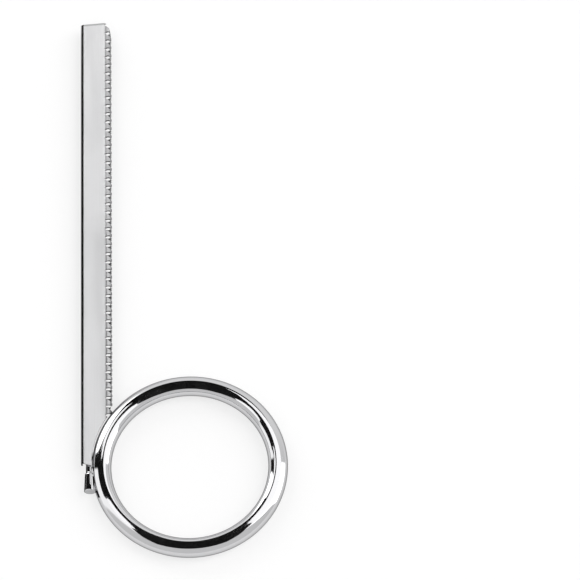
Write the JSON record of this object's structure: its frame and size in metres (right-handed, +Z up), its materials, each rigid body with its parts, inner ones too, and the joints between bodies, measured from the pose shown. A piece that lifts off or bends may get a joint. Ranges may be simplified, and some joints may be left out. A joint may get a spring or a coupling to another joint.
{
  "type": "toothed fabric clip",
  "caption": "Slim chromed clip: two toothed sheet jaws on a sprung spine hinge, opened by lifting the round ring welded to the hinge pin, which the clip also hangs by.",
  "frame": {"origin": "centre of the clip's bounding box, on the surface it lies on", "axes": "+Y along the bar from the ring to the tip, +X from the spine to the teeth, +Z up from the surface towards the front jaw"},
  "size_m": [0.0528, 0.1536, 0.005],
  "materials": {
    "chrome": "polished chrome plate",
    "bright_sheet": "bright plated sheet",
    "steel": "turned",
    "spring_steel": "drawn wire"
  },
  "bodies": {
    "back": {"back_jaw": "bright_sheet", "closing_spring_1": "spring_steel", "closing_spring_2": "spring_steel", "closing_spring_3": "spring_steel"},
    "front": {"front_jaw": "bright_sheet", "hinge_pin": "chrome", "ring": "chrome", "heel_collar": "steel", "tip_collar": "steel"}
  },
  "joints": [
    {"name": "jaw_hinge", "type": "hinge", "parent": "back", "child": "front", "pos_m": [-0.02405, -0.05175, 0.0025], "axis": [0, -1, 0], "range_deg": [0, 40], "stiffness_Nm_per_rad": 0.08, "springref_deg": -34.38, "deforming": ["closing_spring_1", "closing_spring_2", "closing_spring_3"]}
  ]
}
